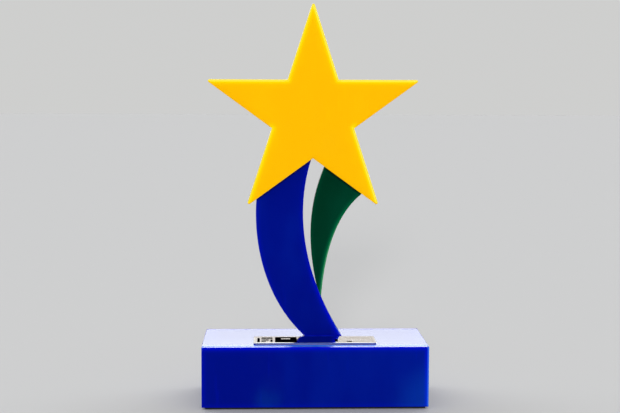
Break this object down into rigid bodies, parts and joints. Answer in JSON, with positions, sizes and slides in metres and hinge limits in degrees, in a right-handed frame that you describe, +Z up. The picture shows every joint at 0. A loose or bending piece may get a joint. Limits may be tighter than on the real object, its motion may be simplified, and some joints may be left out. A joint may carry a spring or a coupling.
{
  "type": "star trophy",
  "caption": "Free-standing award: flat star on curved blue and green ribbon supports, mounted on a hollow rectangular acrylic box with a blank name plate.",
  "frame": {"origin": "middle of the underside of the pad that the trophy stands on", "axes": "+Z up; the star and the name plate face -Y; +X to the right as seen from the front"},
  "size_m": [0.22, 0.1, 0.3931],
  "materials": {
    "yellow_acrylic": "polished cast acrylic sheet",
    "blue_acrylic": "polished cast acrylic sheet",
    "green_acrylic": "polished cast acrylic sheet",
    "clear_acrylic": "sawn clear acrylic",
    "bond_tape": "foam bonding tape",
    "screw_steel": "zinc plated",
    "plate_metal": "mirror polished",
    "pad_foam": "fine-celled foam sheet"
  },
  "bodies": {
    "root": {"base_pad": "pad_foam", "base_bottom": "blue_acrylic", "base_front": "blue_acrylic", "base_back": "blue_acrylic", "base_left": "blue_acrylic", "base_right": "blue_acrylic", "base_top": "blue_acrylic", "corner_block_front_left": "clear_acrylic", "corner_block_front_right": "clear_acrylic", "corner_block_back_left": "clear_acrylic", "corner_block_back_right": "clear_acrylic", "top_doubler": "clear_acrylic", "bottom_screws": "screw_steel", "foot_screws": "screw_steel", "foot_washers": "screw_steel", "blue_ribbon": "blue_acrylic", "green_ribbon": "green_acrylic", "star_tape": "bond_tape", "spacer_tape": "bond_tape", "green_spacer": "clear_acrylic", "star": "yellow_acrylic", "plaque_tape": "bond_tape", "plaque": "plate_metal"}
  },
  "joints": []
}
